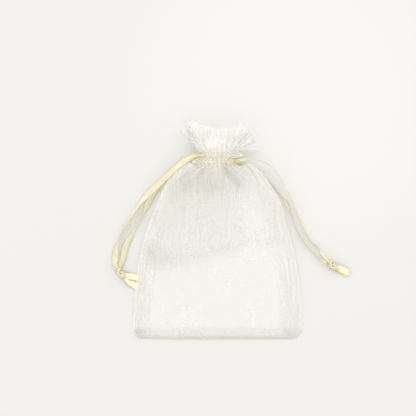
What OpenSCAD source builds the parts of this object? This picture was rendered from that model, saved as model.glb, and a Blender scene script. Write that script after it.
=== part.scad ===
// Drawstring pouch of sheer cloth, drawn closed and lying on its back on a table.
// Millimetres. X runs across the pouch, +Y from the bottom fold to the mouth, +Z up.
// The origin is on the table, under the middle of the closed pouch.
// Heights "v" are measured along Y from the bottom fold.

/* [Pouch] */
// Width across the side seams at the bottom
pouch_w = 100; // [94:1:106]
// Height from the bottom fold to the top of the ruffle, drawn closed
pouch_h = 127; // [124:1:132]
// Height of the body, from the bottom fold to the lower row of channel stitching
body_h = 102.5; // [101:0.5:104]
// Thickness of the gathered cloth
cloth_t = 0.5; // [0.4:0.05:0.6]
// Diagonal cut of the bottom corners, where the seam ends fold in
corner_cut = 3.5; // [0:0.5:5]

/* [Neck and ruffle] */
// Width of the gathered neck
neck_w = 18; // [17:0.5:20]
// Thickness of the gathered neck
neck_t = 10.4; // [10.4:0.2:12]
// Height of the ribbon channel, with its two stitched margins
channel_h = 9; // [9:0.25:10]
// Width of the casing strip that covers each ribbon tunnel
casing_w = 14; // [12:0.5:15]
// Width of the ruffle at its top edge
ruffle_w = 43; // [36:1:46]
// Thickness of the ruffle at its top edge
ruffle_t = 12.6; // [12:0.2:14]
// Pleats around the ruffle
pleats = 18; // [12:2:22]

/* [Ribbons] */
// Width of the satin ribbon
ribbon_w = 4; // [3:0.25:4.5]
// Thickness of the ribbon
ribbon_t = 0.4; // [0.3:0.05:0.5]
// How far each ribbon can still be pulled out from rest
pull = 3; // [2:0.5:4]

/* [Hidden] */

ivory = "#f1efe6";
cream = "#e9e6d8";
gold = "#ead9a0";

// Body shape
shoulder_p = 2.4;      // how late the sides start to draw in
shoulder_q = 0.55;     // how square the shoulders are
flat_u = 0.6;          // share of the width that lies flat on the table
loft_q = 0.45;         // how quickly the front lifts off above the bottom fold
corner_h = 3;          // height of the cut bottom corners
grid_rows = 24;
grid_cols = 24;

// Channel and tunnels
margin = 1.2;                                      // stitched margin above and below a tunnel
stitch_r = 0.2;
casing_z = neck_t - stitch_r;                      // outer face of the front casing
facing_z = casing_z - cloth_t - 1.1;               // inner wall's outer face, 1.1 below the casing
facing_r = 3;                                      // corner radius of the inner wall
tunnel_z = (facing_z + casing_z - cloth_t) / 2;    // middle of the front tunnel
lane = 1.7;                                        // each ribbon's offset from the channel's middle
lane_w = 2.8;                                      // width of a ribbon folded into its lane
exit_x = 9.5;                                      // where a ribbon leaves its folded lane
turn_x = neck_w / 2 + pull + 0.3;                  // inner face of the far turn, before any pull
turn_r = 1.6;                                      // outer corner radius of the far turn
channel_v = body_h + channel_h / 2;

// Ruffle
ruffle_v = body_h + channel_h;
ruffle_rise = 2.8;     // how far the ruffle's middle lifts off the table
pleat_depth = 1.4;
layer_t = 0.4;
layer_gap = 0.05;
pleat_steps = 8;       // facets to a pleat
ruffle_rows = 5;

// Seams
allowance_w = 8;
allowance_t = 0.2;
allowance_u = 0.93;    // outer edge of the allowance, as a share of the half width
seam_u = 0.955;        // line of the side seam's stitches
seam_thread = 0.24;

// Knots
knot_l = 6;
knot_r = 2.4;

// Ribbon routes: [x, y, z, roll in degrees, width]. Roll 0 lies flat, 90 stands on edge.
left_front_route = [
    [-9.5, 45.2, 9.2, 0, 2.8], [-10.5, 45.2, 9.2, 0, 2.8], [-13, 44.9, 9.3, 0, 3], [-18, 42.8, 9, -5, 4],
    [-26, 36.8, 7.6, -10, 4], [-34, 29.2, 5.6, -10, 4], [-41, 22.6, 4.2, -20, 4], [-47, 15.8, 3.2, -45, 4],
    [-52.3, 8.2, 2.5, -65, 4], [-57, 0.2, 2.2, -78, 4], [-59.2, -6, 2, -60, 4], [-60.4, -11.5, 1.1, -15, 4],
    [-60.8, -16, 1.2, 0, 4], [-60.4, -19.5, 2.4, 10, 3.2], [-58.6, -22.8, 3.3, 0, 2.6]
];
left_back_route = [
    [-9.5, 45.2, 1.2, 0, 2.8], [-10.5, 45.2, 1.2, 0, 2.8], [-13, 44.8, 1.2, 0, 3], [-18, 42.8, 0.9, 0, 3.8],
    [-26, 36.9, 0.7, 0, 3.6], [-33.6, 28.8, 0.7, 0, 3.6], [-39, 21.4, 1.1, 20, 4], [-42, 15, 1.6, 40, 4],
    [-44.5, 9.5, 2.1, 75, 4], [-48, 3.5, 2.1, 70, 4], [-52, -3.5, 1.4, 35, 4], [-55, -9.5, 0.6, 5, 4],
    [-56, -14.5, 0.6, 0, 4], [-57.2, -18.5, 1, 0, 3.4], [-58.4, -22.2, 1.6, 0, 2.6]
];
right_front_route = [
    [9.5, 41.8, 9.2, 0, 2.8], [10.5, 41.8, 9.2, 0, 2.8], [13, 42.3, 9.2, 30, 3], [17, 43, 8.9, 75, 4],
    [25.5, 41.9, 7.9, 85, 4], [31.5, 38.7, 6.5, 85, 4], [36, 34, 5.2, 85, 4], [40, 27, 3.8, 85, 4],
    [44, 18, 2.8, 85, 4], [48, 9, 2.2, 83, 4], [51.5, 1, 2.2, 80, 4], [55, -5, 2.2, 80, 4],
    [59.5, -9, 2.2, 85, 4], [62.5, -13.5, 2.4, 60, 3.6], [66.8, -18.6, 3.1, 20, 2.6]
];
right_back_route = [
    [9.5, 41.8, 1.2, 0, 2.8], [10.5, 41.8, 1.2, 0, 2.8], [13.5, 40.8, 1.4, 10, 3], [20.5, 37.8, 2.2, 75, 4],
    [27, 33.3, 2.2, 83, 4], [32.5, 28.2, 2.2, 85, 4], [38, 21.5, 2.2, 85, 4], [41.2, 16.5, 1.8, 50, 4],
    [44, 9.6, 2.2, 75, 4], [46, 3.2, 2.1, 85, 4], [50, -4.2, 2.1, 85, 4], [55.5, -11, 2.1, 85, 4],
    [60.5, -15.8, 2.1, 80, 4], [63.8, -17.9, 1.8, 50, 3.4], [66.6, -18.9, 1.5, 20, 2.6]
];
left_upper_tail_route = [
    [-56.3, -25.4, 2.4, 0, 2.6], [-53.6, -26.2, 1.6, 0, 3.6], [-51.3, -26.5, 0.6, 0, 4],
    [-48.5, -27, 0.3, 0, 4], [-44.5, -28, 0.3, 0, 4]
];
left_lower_tail_route = [
    [-56.4, -26, 1.2, 30, 2.6], [-54.3, -28, 1.4, 50, 3.2], [-51.7, -30.2, 1, 30, 4],
    [-49.2, -31.8, 0.3, 0, 4], [-45.8, -33.6, 0.3, 0, 4]
];
right_upper_tail_route = [
    [69.8, -20.9, 3, 0, 2.6], [72.2, -21.6, 2.4, 0, 3.4], [74.6, -22.6, 1.6, 0, 4], [78.2, -24.3, 1.2, 0, 4]
];
right_lower_tail_route = [
    [69.6, -21.1, 1.2, 0, 2.6], [72, -22.3, 0.8, 0, 3.4], [74.4, -23.6, 0.4, 0, 4], [77.8, -25.6, 0.3, 0, 4]
];
left_knot_at = [-57.5, -24, knot_r + 0.05];
left_knot_turn = -50;
right_knot_at = [68.2, -19.8, knot_r + 0.05];
right_knot_turn = -33;

// Y of a height v above the bottom fold.
function y_at(v) = v - pouch_h / 2;

// ---- Solids from grids -------------------------------------------------------------------

function quad(a, b, c, d) = [[a, b, c], [a, c, d]];

// A closed solid between two grids of points with the same rows (along Y) and columns (along X).
module slab(lower, upper) {
    rows = len(lower);
    cols = len(lower[0]);
    top = rows * cols;
    function low(i, j) = i * cols + j;
    function high(i, j) = top + low(i, j);
    cells = [for (i = [0:rows - 2], j = [0:cols - 2]) [i, j]];
    faces = concat(
        [for (c = cells) each quad(
            high(c.x, c.y), high(c.x + 1, c.y), high(c.x + 1, c.y + 1), high(c.x, c.y + 1))],
        [for (c = cells, f = quad(
            low(c.x, c.y), low(c.x + 1, c.y), low(c.x + 1, c.y + 1), low(c.x, c.y + 1)))
            [f[2], f[1], f[0]]],
        [for (j = [0:cols - 2]) each concat(
            quad(low(0, j), high(0, j), high(0, j + 1), low(0, j + 1)),
            quad(low(rows - 1, j + 1), high(rows - 1, j + 1), high(rows - 1, j), low(rows - 1, j)))],
        [for (i = [0:rows - 2]) each concat(
            quad(low(i + 1, 0), high(i + 1, 0), high(i, 0), low(i, 0)),
            quad(low(i, cols - 1), high(i, cols - 1), high(i + 1, cols - 1), low(i + 1, cols - 1)))]
    );
    polyhedron(concat([for (row = lower) each row], [for (row = upper) each row]), faces, convexity = 8);
}

// Shares from 0 to 1, close together at both ends.
function graded(steps) = [for (i = [0:steps]) (1 - cos(180 * i / steps)) / 2];

// ---- Body --------------------------------------------------------------------------------

function share(v) = v / body_h;

// Half of the body's width at height v.
function half_w(v) =
    neck_w / 2
    + (pouch_w - neck_w) / 2 * pow(max(0, 1 - pow(share(v), shoulder_p)), shoulder_q)
    - corner_cut * max(0, 1 - v / corner_h);

// Height of the side seam above the table, where the two panels meet.
function seam_z(v) = cloth_t + (neck_t / 2 - cloth_t) * pow(share(v), 1.2);

// Space between the seam's level and each panel, at share u of the half width.
function front_gap(u, v) =
    (neck_t / 2 - cloth_t) * pow(sin(90 * share(v)), loft_q)
    * pow(max(0, 1 - pow(abs(u), 2.2)), 0.8 - 0.3 * pow(share(v), 3));
function back_gap(u, v) =
    (seam_z(v) - cloth_t) * (1 - pow(max(0, (abs(u) - flat_u) / (1 - flat_u)), 2));

function front_grid(lift) = [for (s = graded(grid_rows)) let (v = s * body_h)
    [for (c = graded(grid_cols)) let (u = 2 * c - 1)
        [u * half_w(v), y_at(v), seam_z(v) + front_gap(u, v) + lift]]];
function back_grid(drop) = [for (s = graded(grid_rows)) let (v = s * body_h)
    [for (c = graded(grid_cols)) let (u = 2 * c - 1)
        [u * half_w(v), y_at(v), (seam_z(v) - drop) - back_gap(u, v)]]];

module front_panel() {
    color(ivory) slab(front_grid(0), front_grid(cloth_t));
}

module back_panel() {
    color(ivory) slab(back_grid(cloth_t), back_grid(0));
}

// ---- Ribbon channel ----------------------------------------------------------------------

// Extrudes an XZ outline along Y, from height v upwards.
module along_y(v, length) {
    translate([0, y_at(v) + length, 0]) rotate([90, 0, 0]) linear_extrude(length) children();
}

// Places its children on the front of the neck, or turned over onto the back.
module neck_side(front) {
    if (front) children();
    else translate([0, 0, neck_t]) mirror([0, 0, 1]) children();
}

// The dashes of one row of stitches on the front of the neck.
module stitch_row(v) {
    pitch = 2;
    length = 1.2;
    count = floor((casing_w - length) / pitch);
    for (k = [0:count - 1])
        translate([(k - (count - 1) / 2) * pitch - length / 2, y_at(v), casing_z])
            rotate([0, 90, 0]) cylinder(r = stitch_r, h = length, $fn = 16);
}
lower_stitch_v = body_h + margin / 2;
upper_stitch_v = body_h + channel_h - margin / 2;

// Outer layer of the channel: a strip with a tunnel under it, open at both ends.
module casing(front) {
    color(cream) neck_side(front) difference() {
        translate([-casing_w / 2, y_at(body_h), facing_z])
            cube([casing_w, channel_h, casing_z - facing_z]);
        translate([-casing_w, y_at(body_h + margin), facing_z - 1])
            cube([2 * casing_w, channel_h - 2 * margin, casing_z - cloth_t - facing_z + 1]);
        stitch_row(lower_stitch_v);
        stitch_row(upper_stitch_v);
    }
}

// Inner layer of the channel: half of the rounded wall around the mouth.
module facing(front) {
    depth = facing_z - neck_t / 2;
    module outline(inset) {
        r = facing_r - inset;
        w = neck_w / 2 - inset;
        h = depth - inset;
        square([2 * (w - r), 2 * h], center = true);
        square([2 * w, 2 * (h - r)], center = true);
        for (sx = [-1, 1], sy = [-1, 1]) translate([sx * (w - r), sy * (h - r)]) circle(r, $fn = 24);
    }
    color(ivory) neck_side(front) along_y(body_h, channel_h) translate([0, neck_t / 2])
        intersection() {
            difference() {
                outline(0);
                outline(cloth_t);
            }
            translate([-neck_w, 0]) square([2 * neck_w, depth]);
        }
}

module channel_stitching(v) {
    color(cream) for (front = [true, false]) neck_side(front) stitch_row(v);
}

// ---- Ruffle ------------------------------------------------------------------------------

// A point of the ruffle at angle a round the mouth, share s of the way up, offset outwards.
function ruffle_point(a, s, offset) =
    let (pleat = pleat_depth * s * (0.35 + 0.65 * abs(sin(a))) * cos(pleats * a),
         rx = neck_w / 2 + (ruffle_w - neck_w) / 2 * pow(s, 0.8) + pleat + offset,
         rz = neck_t / 2 + (ruffle_t - neck_t) / 2 * s + pleat + offset)
    [rx * cos(a), y_at(ruffle_v + s * (pouch_h - ruffle_v)), neck_t / 2 + ruffle_rise * s + rz * sin(a)];

// Columns run from the left seam to the right one, over the front or under the back.
function ruffle_grid(front, offset) =
    let (steps = pleats / 2 * pleat_steps, side = front ? 1 : -1)
    [for (i = [0:ruffle_rows]) [for (j = [0:steps])
        ruffle_point(side * 180 * (1 - j / steps), i / ruffle_rows, offset)]];

module ruffle_layer(front, inner, outer) {
    color(ivory) slab(ruffle_grid(front, front ? inner : outer), ruffle_grid(front, front ? outer : inner));
}

module ruffle(front) {
    ruffle_layer(front, -layer_t, 0);
}

module ruffle_lining(front) {
    ruffle_layer(front, -2 * layer_t - layer_gap, -layer_t - layer_gap);
}

// ---- Side seams --------------------------------------------------------------------------

// The turned-in edges of both panels, pressed flat inside the pouch along one side.
module seam_allowance(side) {
    rows = [for (k = [0:14]) 14 + k * 5.6];
    function grid(z) = [for (v = rows) let (outer = allowance_u * half_w(v), inner = outer - allowance_w)
        [for (x = side > 0 ? [inner, outer] : [-outer, -inner]) [x, y_at(v), seam_z(v) + z]]];
    color(cream) slab(grid(-0.02), grid(allowance_t - 0.02));
}

module seam_stitching(side) {
    pitch = 4;
    length = 2.4;
    color(cream) for (v = [20:pitch:92])
        let (a = [side * seam_u * half_w(v), y_at(v), seam_z(v) + 0.05],
             b = [side * seam_u * half_w(v + length), y_at(v + length), seam_z(v + length) + 0.05],
             d = b - a)
        translate(a) rotate([0, acos(d.z / norm(d)), atan2(d.y, d.x)])
            cylinder(d = seam_thread, h = norm(d), $fn = 16);
}

// ---- Ribbons -----------------------------------------------------------------------------

function unit(v) = v / norm(v);

// Direction of a route at its point k.
function heading(route, k) =
    let (p = route[min(k + 1, len(route) - 1)], q = route[max(k - 1, 0)])
    unit([p.x - q.x, p.y - q.y, p.z - q.z]);

// The eight corners of the ribbon's flat section at point k. A folded ribbon keeps its area.
function section(route, k) =
    let (p = route[k], t = heading(route, k), s = unit(cross(t, [0, 0, 1])), n = cross(s, t),
         roll = p[3], a = p[4] * ribbon_w / 8, b = ribbon_w * ribbon_t / (4 * a),
         across = cos(roll) * s + sin(roll) * n, up = cos(roll) * n - sin(roll) * s)
    [for (c = [[a, b / 2], [a - b, b], [b - a, b], [-a, b / 2], [-a, -b / 2], [b - a, -b], [a - b, -b],
               [a, -b / 2]])
        [p.x, p.y, p.z] + c.x * across + c.y * up];

module ribbon(route) {
    sides = 8;
    rings = len(route);
    faces = concat(
        [[for (c = [0:sides - 1]) c], [for (c = [0:sides - 1]) rings * sides - 1 - c]],
        [for (k = [0:rings - 2], c = [0:sides - 1]) let (d = (c + 1) % sides) each quad(
            k * sides + c, (k + 1) * sides + c, (k + 1) * sides + d, k * sides + d)]
    );
    color(gold) polyhedron([for (k = [0:rings - 1]) each section(route, k)], faces, convexity = 8);
}

// The part of a ribbon in the channel: along the front tunnel, round the far side and back.
// side is -1 for the ribbon that leaves on the left, and its lane is the upper one.
module ribbon_run(side) {
    t = ribbon_w * ribbon_t / lane_w;
    depth = 2 * tunnel_z - neck_t + t;
    reach = exit_x + turn_x + t;
    y = y_at(channel_v) - side * lane + lane_w / 2;
    module loop(inset) {
        r = turn_r - inset;
        w = reach - inset;
        h = depth / 2 - inset;
        translate([0, -h]) square([w - r, 2 * h]);
        translate([0, r - h]) square([w, 2 * (h - r)]);
        for (sy = [-1, 1]) translate([w - r, sy * (h - r)]) circle(r, $fn = 24);
    }
    color(gold) mirror([side > 0 ? 1 : 0, 0, 0]) translate([-exit_x, y, neck_t / 2]) rotate([90, 0, 0])
        linear_extrude(lane_w) difference() {
            loop(0);
            translate([-1, 0]) square([2, depth - 2 * t], center = true);
            loop(t);
        }
}

// An overhand knot in both ends of a ribbon, as a barrel with three wraps.
module knot(at, turn) {
    wraps = 3;
    steps = 24;
    function swell(s) = knot_r * (0.62 + 0.3 * sin(180 * s) + 0.08 * abs(sin(180 * wraps * s)));
    color(gold) translate(at) rotate([0, 0, turn]) rotate([0, 90, 0]) translate([0, 0, -knot_l / 2])
        rotate_extrude($fn = 32) polygon(concat(
            [[0, 0]], [for (k = [0:steps]) [swell(k / steps), knot_l * k / steps]], [[0, knot_l]]));
}

// ---- The pouch ---------------------------------------------------------------------------

front_panel();
back_panel();
casing(true);  // front_casing
casing(false);  // back_casing
facing(true);  // front_facing
facing(false);  // back_facing
ruffle(true);  // front_ruffle
ruffle(false);  // back_ruffle
ruffle_lining(true);  // front_ruffle_lining
ruffle_lining(false);  // back_ruffle_lining
seam_allowance(-1);  // left_seam_allowance
seam_allowance(1);  // right_seam_allowance
seam_stitching(-1);  // left_seam_stitching
seam_stitching(1);  // right_seam_stitching
channel_stitching(lower_stitch_v);  // lower_channel_stitching
channel_stitching(upper_stitch_v);  // upper_channel_stitching
ribbon_run(-1);  // left_ribbon_run
ribbon(left_front_route);  // left_ribbon_front_strand
ribbon(left_back_route);  // left_ribbon_back_strand
knot(left_knot_at, left_knot_turn);  // left_knot
ribbon(left_upper_tail_route);  // left_upper_tail
ribbon(left_lower_tail_route);  // left_lower_tail
ribbon_run(1);  // right_ribbon_run
ribbon(right_front_route);  // right_ribbon_front_strand
ribbon(right_back_route);  // right_ribbon_back_strand
knot(right_knot_at, right_knot_turn);  // right_knot
ribbon(right_upper_tail_route);  // right_upper_tail
ribbon(right_lower_tail_route);  // right_lower_tail
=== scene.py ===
"""Drawstring gift pouch of sheer organza, drawn closed and lying on its back on a table.

Shapes are worked out in millimetres and become metres in mesh_object(). X runs across the pouch,
+Y from the bottom fold to the mouth, +Z up, as in the frame.
"""

import bpy
import numpy as np
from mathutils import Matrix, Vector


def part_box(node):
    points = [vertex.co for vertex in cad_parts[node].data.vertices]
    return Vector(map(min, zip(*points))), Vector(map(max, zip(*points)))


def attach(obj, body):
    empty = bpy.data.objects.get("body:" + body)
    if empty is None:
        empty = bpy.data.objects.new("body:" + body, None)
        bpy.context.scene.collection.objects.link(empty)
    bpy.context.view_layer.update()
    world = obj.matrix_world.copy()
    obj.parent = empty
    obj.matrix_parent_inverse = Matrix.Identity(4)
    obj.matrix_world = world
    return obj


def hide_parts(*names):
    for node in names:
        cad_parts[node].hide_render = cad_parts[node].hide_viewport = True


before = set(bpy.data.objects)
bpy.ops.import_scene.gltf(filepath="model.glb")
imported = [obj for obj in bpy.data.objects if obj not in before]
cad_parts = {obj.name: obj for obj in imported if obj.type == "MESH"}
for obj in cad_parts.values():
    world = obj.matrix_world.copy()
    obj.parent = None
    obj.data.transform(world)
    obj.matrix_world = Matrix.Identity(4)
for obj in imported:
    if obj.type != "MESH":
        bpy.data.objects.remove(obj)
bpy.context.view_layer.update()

MM = 0.001


def box_mm(node):
    """A CAD node's lowest and highest corners, in millimetres."""
    return [np.array(corner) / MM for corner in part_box(node)]


PANEL_LO, PANEL_HI = box_mm("front_panel")
FACING_LO, FACING_HI = box_mm("front_facing")
BOTTOM_Y = PANEL_LO[1]
BODY_H = PANEL_HI[1] - PANEL_LO[1]
CHANNEL_H = FACING_HI[1] - FACING_LO[1]
RUFFLE_V = BODY_H + CHANNEL_H
HALF_W = PANEL_HI[0]
NECK_HALF = FACING_HI[0]
CLOTH_T = 0.5            # the CAD panels' thickness
SEAM_TOP = 5.2           # height of the side seams at the neck
LIE = 0.15               # the real cloth's height above the table where it lies flat
DAYLIGHT = (1, 0.995, 0.98)
WORLD_STRENGTH = 1.18
WINDOW_WATTS = 30

# ---- Camera, floor and light ----------------------------------------------------

FRAME_W = 247.6          # width of table that the camera sees
FRAME_CENTRE = (-5.65, 14.2)
LENS = 85
SENSOR = 36


def make_camera():
    """A camera straight above the pouch."""
    data = bpy.data.cameras.new("camera")
    data.lens = LENS
    data.sensor_width = SENSOR
    camera = bpy.data.objects.new("camera", data)
    camera.location = (FRAME_CENTRE[0] * MM, FRAME_CENTRE[1] * MM, FRAME_W * LENS / SENSOR * MM)
    bpy.context.collection.objects.link(camera)
    bpy.context.scene.camera = camera


def aim(obj, target):
    """Turns a lamp to face the target."""
    direction = Vector(target) - obj.location
    obj.rotation_euler = direction.to_track_quat("-Z", "Y").to_euler()


def make_light(name, place, size, energy, colour):
    """A rectangular area light, aimed at the middle of the table."""
    data = bpy.data.lights.new(name, "AREA")
    data.shape = "RECTANGLE"
    data.size, data.size_y = size
    data.energy = energy
    data.color = colour
    light = bpy.data.objects.new(name, data)
    light.location = place
    bpy.context.collection.objects.link(light)
    aim(light, (0, 0, 0))


def make_stage():
    """The light, and a sheet of paper much larger than the view."""
    scene = bpy.context.scene
    scene.view_settings.view_transform = "Standard"
    scene.cycles.transparent_max_bounces = 48
    scene.cycles.max_bounces = 24
    scene.cycles.diffuse_bounces = 16
    world = bpy.data.worlds.new("studio")
    world.use_nodes = True
    background = world.node_tree.nodes["Background"]
    background.inputs["Color"].default_value = (*DAYLIGHT, 1)
    background.inputs["Strength"].default_value = WORLD_STRENGTH
    scene.world = world
    make_light("window", (-0.7, 2.2, 2.6), (2.6, 2.0), WINDOW_WATTS, DAYLIGHT)

    half = 2.5
    floor = bpy.data.meshes.new("floor")
    corners = [(-half, -half), (half, -half), (half, half), (-half, half)]
    floor.from_pydata([(x, y, 0) for x, y in corners], [], [(0, 1, 2, 3)])
    obj = bpy.data.objects.new("floor", floor)
    obj.location.z = -0.0001
    bpy.context.collection.objects.link(obj)
    floor.materials.append(paper_material())


# ---- Materials ------------------------------------------------------------------


class Nodes:
    """A material's node tree, with short calls for adding and linking nodes."""

    def __init__(self, name):
        self.material = bpy.data.materials.new(name)
        self.material.use_nodes = True
        self.tree = self.material.node_tree
        self.shader = self.tree.nodes["Principled BSDF"]
        self.output = self.tree.nodes["Material Output"]

    def add(self, kind, **settings):
        """A new node. Each setting is one of its properties or, failing that, one of its inputs."""
        node = self.tree.nodes.new("ShaderNode" + kind)
        for key, value in settings.items():
            if hasattr(node, key):
                setattr(node, key, value)
            else:
                node.inputs[key.replace("_", " ").title()].default_value = value
        return node

    def link(self, source, target):
        self.tree.links.new(source, target)

    def math(self, operation, a, b=0.0, clamp=False):
        """One operation on numbers or other nodes' outputs."""
        node = self.add("Math", operation=operation, use_clamp=clamp)
        for socket, value in zip(node.inputs, (a, b)):
            if isinstance(value, (int, float)):
                socket.default_value = value
            else:
                self.link(value, socket)
        return node.outputs[0]

    def spread(self, value, low, high, to_low, to_high):
        """Maps low..high to to_low..to_high, with a smooth step."""
        node = self.add("MapRange", interpolation_type="SMOOTHSTEP")
        self.link(value, node.inputs["Value"])
        for name, number in zip(("From Min", "From Max", "To Min", "To Max"), (low, high, to_low, to_high)):
            node.inputs[name].default_value = number
        return node.outputs["Result"]

    def mix_colour(self, factor, first, second):
        """first where factor is 0 and second where it is 1."""
        node = self.add("Mix", data_type="RGBA")
        self.link(factor, node.inputs["Factor"])
        for socket, colour in ((node.inputs[6], first), (node.inputs[7], second)):
            if isinstance(colour, tuple):
                socket.default_value = (*colour, 1)
            else:
                self.link(colour, socket)
        return node.outputs[2]

    def noise(self, vector, scale, detail=2.0):
        """Noise from 0 to 1, whose features are 1/scale long in each direction."""
        stretch = self.add("VectorMath", operation="MULTIPLY")
        self.link(vector, stretch.inputs[0])
        stretch.inputs[1].default_value = scale
        node = self.add("TexNoise")
        node.inputs["Scale"].default_value = 1.0
        node.inputs["Detail"].default_value = detail
        self.link(stretch.outputs[0], node.inputs["Vector"])
        return node.outputs["Fac"]

    def threads(self, coordinate, pitch):
        """A round-topped ridge for each thread, from 0 between threads to 1 on them."""
        turns = self.math("MULTIPLY", coordinate, 2 * np.pi / pitch)
        return self.spread(self.math("COSINE", turns), -1, 1, 0, 1)

    def bump(self, height, distance, strength):
        node = self.add("Bump")
        node.inputs["Strength"].default_value = strength
        node.inputs["Distance"].default_value = distance
        self.link(height, node.inputs["Height"])
        self.link(node.outputs[0], self.shader.inputs["Normal"])

    def set(self, **values):
        for key, value in values.items():
            self.shader.inputs[key.replace("_", " ")].default_value = value

    def see_through(self, cover):
        """Lets light straight through, apart from the share that cover stops."""
        clear = self.add("BsdfTransparent")
        blend = self.add("MixShader")
        self.link(cover, blend.inputs[0])
        self.link(clear.outputs[0], blend.inputs[1])
        self.link(self.shader.outputs[0], blend.inputs[2])
        self.link(blend.outputs[0], self.output.inputs["Surface"])


# Colours of the paper's darker and lighter clouds and of a pool of painted light on it, right of the neck.
PAPER = (0.660, 0.655, 0.640), (0.676, 0.671, 0.656), (0.708, 0.703, 0.690)
PAINTED_LIGHT_SPOT = (0.045, 0.075, 0)


def paper_material():
    """Off-white paper, with a pool of painted light beside the neck of the pouch."""
    dark, light, painted_light = PAPER
    n = Nodes("paper")
    place = n.add("NewGeometry").outputs["Position"]
    paper = n.mix_colour(n.noise(place, (3, 3, 3)), dark, light)
    away = n.add("VectorMath", operation="DISTANCE")
    n.link(place, away.inputs[0])
    away.inputs[1].default_value = PAINTED_LIGHT_SPOT
    # Painted light: the paper is made paler in a pool round the spot right of the neck.
    painted_pale = n.spread(away.outputs["Value"], 0.03, 0.15, 1, 0)
    n.link(n.mix_colour(painted_pale, paper, painted_light), n.shader.inputs["Base Color"])
    n.set(Roughness=0.9)
    n.shader.inputs["Specular IOR Level"].default_value = 0.1
    return n.material


THREAD_PITCH = 0.5       # of the organza, in millimetres


def organza_material(name, cover, first, second, painted_shade_colour):
    """Sheer plain weave. cover is the share of light that one layer stops. The mesh's UVs are in millimetres
    of cloth. Its plies attribute says how many thicknesses a fold stacks up, and its shade attribute how
    much painted shade the cloth there takes; painted shade also darkens it where many thicknesses stack up."""
    n = Nodes(name)
    uv = n.add("UVMap", uv_map="cloth").outputs[0]
    split = n.add("SeparateXYZ")
    n.link(uv, split.inputs[0])
    weave = n.math("MAXIMUM", *(n.threads(split.outputs[k], THREAD_PITCH) for k in (0, 1)))
    slubs = n.noise(uv, (1.7, 0.035, 1), 3)
    cross_slubs = n.noise(uv, (0.03, 1.3, 1), 2)
    clouds = n.noise(uv, (0.05, 0.04, 1), 3)
    layer = n.math("MULTIPLY", n.spread(weave, 0, 1, 0.95, 1.03), cover)
    layer = n.math("MULTIPLY", layer, n.spread(slubs, 0.3, 0.72, 0.91, 1.13))
    layer = n.math("MULTIPLY", layer, n.spread(cross_slubs, 0.3, 0.7, 0.94, 1.06))
    layer = n.math("MULTIPLY", layer, n.spread(clouds, 0.3, 0.7, 0.9, 1.1), clamp=True)
    plies = n.add("Attribute", attribute_name="plies").outputs["Fac"]
    clear = n.math("POWER", n.math("SUBTRACT", 1.0, layer), plies)
    cloth = n.mix_colour(n.spread(slubs, 0.3, 0.7, 0, 1), first, second)
    # Painted shade: the colour is darkened by the shade attribute and where many thicknesses stack up.
    shade = n.math("MAXIMUM", n.add("Attribute", attribute_name="shade").outputs["Fac"],
                   n.spread(plies, 2.6, 9, 0, 0.6), clamp=True)
    n.link(n.mix_colour(shade, cloth, painted_shade_colour), n.shader.inputs["Base Color"])
    n.set(Roughness=0.42, Sheen_Weight=0.25, Sheen_Roughness=0.4)
    n.shader.inputs["Specular IOR Level"].default_value = 0.5
    height = n.math("ADD", weave, n.math("MULTIPLY", slubs, 2.0))
    n.bump(height, 0.00004, 0.3)
    n.see_through(n.math("SUBTRACT", 1.0, clear, clamp=True))
    return n.material


# Colours of the satin's darker and lighter streaks, its pale bands of painted sheen and its woven edges.
SHEER_SATIN = (0.82, 0.76, 0.50), (0.92, 0.87, 0.64), (0.97, 0.95, 0.80), (0.62, 0.53, 0.27)
DENSE_SATIN = (0.74, 0.68, 0.45), (0.87, 0.83, 0.61), (0.95, 0.93, 0.76), (0.66, 0.57, 0.32)


def satin_material(name, sheer):
    """Narrow satin ribbon: fine ribs along it, pale bands of painted sheen and denser, darker woven edges. A
    sheer one is a single thickness, which lets light through."""
    n = Nodes(name)
    uv = n.add("UVMap", uv_map="cloth").outputs[0]
    split = n.add("SeparateXYZ")
    n.link(uv, split.inputs[0])
    across, along = split.outputs[0], split.outputs[1]
    edge = n.spread(n.math("ABSOLUTE", across), 1.4, 1.85, 0, 1)
    streaks = n.noise(uv, (4.0, 0.12, 1), 3)
    painted_sheen_bands = n.noise(uv, (0.3, 0.11, 1), 2)
    dark, light, painted_pale, rim = SHEER_SATIN if sheer else DENSE_SATIN
    body = n.mix_colour(n.spread(streaks, 0.3, 0.7, 0, 1), dark, light)
    # Painted sheen: pale bands mixed into the satin's colour.
    body = n.mix_colour(n.spread(painted_sheen_bands, 0.35, 0.7, 0, 0.5), body, painted_pale)
    n.link(n.mix_colour(edge, body, rim), n.shader.inputs["Base Color"])
    ribs = n.threads(across, 0.28)
    picks = n.threads(along, 0.35)
    height = n.math("ADD", ribs, n.math("MULTIPLY", picks, 0.3))
    n.bump(n.math("ADD", height, n.math("MULTIPLY", streaks, 2.0)), 0.00003, 0.5)
    n.link(n.spread(painted_sheen_bands, 0.3, 0.7, 0.3, 0.45), n.shader.inputs["Roughness"])
    n.set(Anisotropic=0.5, Sheen_Weight=0.2)
    if sheer:
        n.see_through(n.spread(edge, 0, 1, 0.33, 0.75))
    return n.material


def thread_material():
    """Two-ply sewing thread, with the twist as slanting ridges and painted shade in the grooves between
    them.
    """
    n = Nodes("thread")
    uv = n.add("UVMap", uv_map="cloth").outputs[0]
    split = n.add("SeparateXYZ")
    n.link(uv, split.inputs[0])
    twist = n.threads(n.math("ADD", split.outputs[0], split.outputs[1]), 0.45)
    # Painted shade: the grooves between the ridges are coloured darker.
    n.link(n.mix_colour(twist, (0.66, 0.63, 0.55), (0.82, 0.80, 0.74)), n.shader.inputs["Base Color"])
    n.bump(twist, 0.00004, 0.7)
    n.set(Roughness=0.55, Sheen_Weight=0.3)
    return n.material


# ---- Meshes ---------------------------------------------------------------------


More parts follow.
